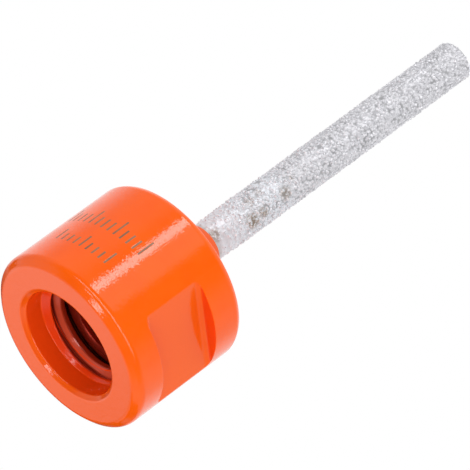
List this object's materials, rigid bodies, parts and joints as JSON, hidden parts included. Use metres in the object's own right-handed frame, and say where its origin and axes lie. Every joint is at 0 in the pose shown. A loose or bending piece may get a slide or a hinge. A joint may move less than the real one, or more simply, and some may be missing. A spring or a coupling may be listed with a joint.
{
  "type": "diamond burr",
  "caption": "Finger burr for a grinder: painted steel hub with a threaded spindle socket and two wrench flats, carrying a straight rod coated with brazed diamond grit.",
  "frame": {"origin": "centre of the hub's front face, which is the face that seats on the spindle's flange and on which the part stands", "axes": "+Z along the rod from the hub to the tip; +X is the outward normal of one wrench flat"},
  "size_m": [0.027, 0.027, 0.0774],
  "materials": {
    "hub_paint": "glossy orange enamel over machined steel",
    "core_steel": "ground steel pin",
    "diamond_grit": "coarse diamond grit in a grey nickel braze"
  },
  "bodies": {
    "root": {"adapter_hub": "hub_paint", "burr_core": "core_steel", "diamond_coating": "diamond_grit"}
  },
  "joints": []
}
